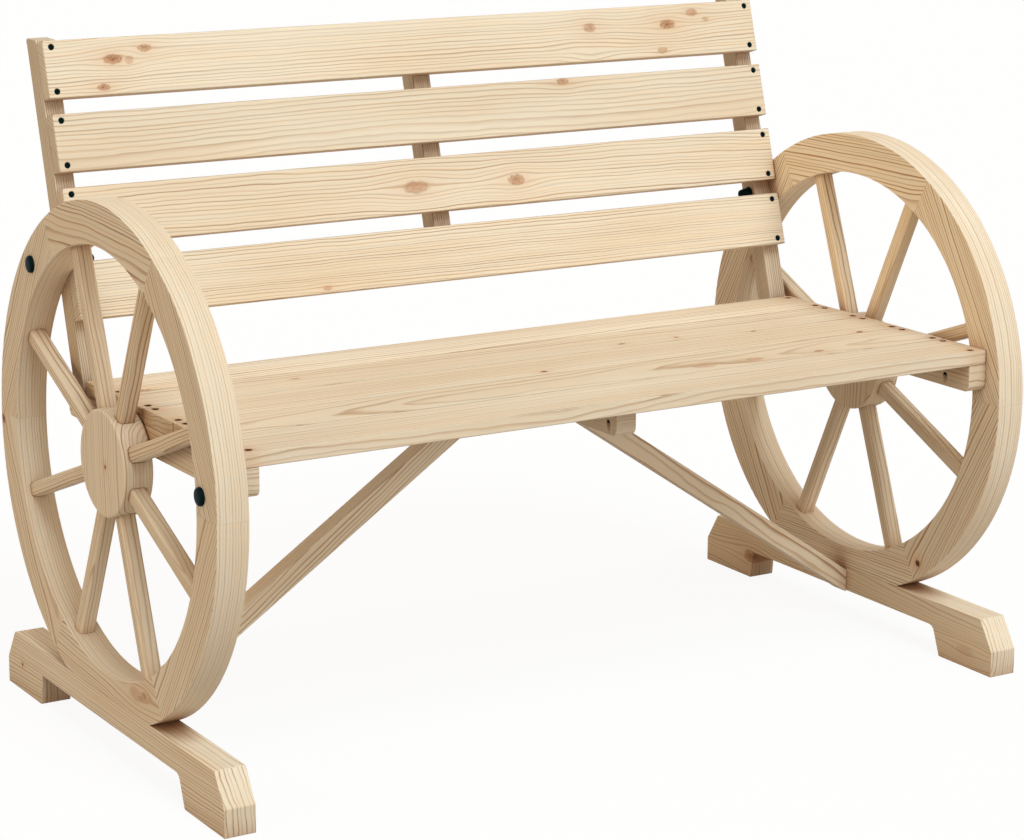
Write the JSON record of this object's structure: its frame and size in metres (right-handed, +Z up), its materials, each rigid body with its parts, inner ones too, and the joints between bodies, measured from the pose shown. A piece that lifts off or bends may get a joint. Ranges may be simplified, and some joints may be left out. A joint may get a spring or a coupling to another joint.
{
  "type": "wagon wheel garden bench",
  "caption": "Garden bench of planed fir with spoked wagon-wheel ends on arched feet, a plank seat, a leaning slatted back and diagonal braces under the seat.",
  "frame": {"origin": "on the floor, at the centre of the bottom of the bounding box: midway between the wheels and between the front and rear ends of the feet", "axes": "+X along the seat to the right of someone who faces the bench from the front, +Y from the front to the back, +Z up"},
  "size_m": [1.11, 0.611, 0.8017],
  "materials": {
    "wheel_wood": "planed, unfinished fir",
    "spoke_wood": "planed, unfinished fir",
    "hub_wood": "planed, unfinished fir",
    "foot_wood": "planed, unfinished fir",
    "frame_wood": "planed, unfinished fir",
    "seat_wood": "planed, unfinished fir",
    "back_wood": "planed, unfinished fir",
    "dowel_wood": "turned beech, unfinished",
    "bolt_steel": "black coated, satin",
    "screw_steel": "black coated, satin"
  },
  "bodies": {
    "root": {"left_wheel_felloe_1": "wheel_wood", "left_wheel_felloe_2": "wheel_wood", "left_wheel_felloe_3": "wheel_wood", "left_wheel_felloe_4": "wheel_wood", "left_wheel_felloe_5": "wheel_wood", "left_wheel_felloe_6": "wheel_wood", "left_wheel_spoke_1": "spoke_wood", "left_wheel_spoke_2": "spoke_wood", "left_wheel_spoke_3": "spoke_wood", "left_wheel_spoke_4": "spoke_wood", "left_wheel_spoke_5": "spoke_wood", "left_wheel_spoke_6": "spoke_wood", "left_wheel_spoke_7": "spoke_wood", "left_wheel_spoke_8": "spoke_wood", "left_wheel_hub": "hub_wood", "left_foot": "foot_wood", "left_seat_bearer": "frame_wood", "left_back_post": "frame_wood", "left_brace": "frame_wood", "right_wheel_felloe_1": "wheel_wood", "right_wheel_felloe_2": "wheel_wood", "right_wheel_felloe_3": "wheel_wood", "right_wheel_felloe_4": "wheel_wood", "right_wheel_felloe_5": "wheel_wood", "right_wheel_felloe_6": "wheel_wood", "right_wheel_spoke_1": "spoke_wood", "right_wheel_spoke_2": "spoke_wood", "right_wheel_spoke_3": "spoke_wood", "right_wheel_spoke_4": "spoke_wood", "right_wheel_spoke_5": "spoke_wood", "right_wheel_spoke_6": "spoke_wood", "right_wheel_spoke_7": "spoke_wood", "right_wheel_spoke_8": "spoke_wood", "right_wheel_hub": "hub_wood", "right_foot": "foot_wood", "right_seat_bearer": "frame_wood", "right_back_post": "frame_wood", "right_brace": "frame_wood", "centre_seat_bearer": "frame_wood", "centre_back_batten": "frame_wood", "seat_plank_1": "seat_wood", "seat_plank_2": "seat_wood", "seat_plank_3": "seat_wood", "seat_plank_4": "seat_wood", "seat_plank_5": "seat_wood", "back_slat_1": "back_wood", "back_slat_2": "back_wood", "back_slat_3": "back_wood", "back_slat_4": "back_wood", "rim_dowels": "dowel_wood", "rim_bolts": "bolt_steel", "rim_washers": "bolt_steel", "rim_nuts": "bolt_steel", "seat_screws": "screw_steel", "slat_screws": "screw_steel", "pocket_screws": "screw_steel", "post_foot_screws": "screw_steel", "batten_screws": "screw_steel", "foot_screws": "screw_steel", "brace_screws": "screw_steel"}
  },
  "joints": []
}
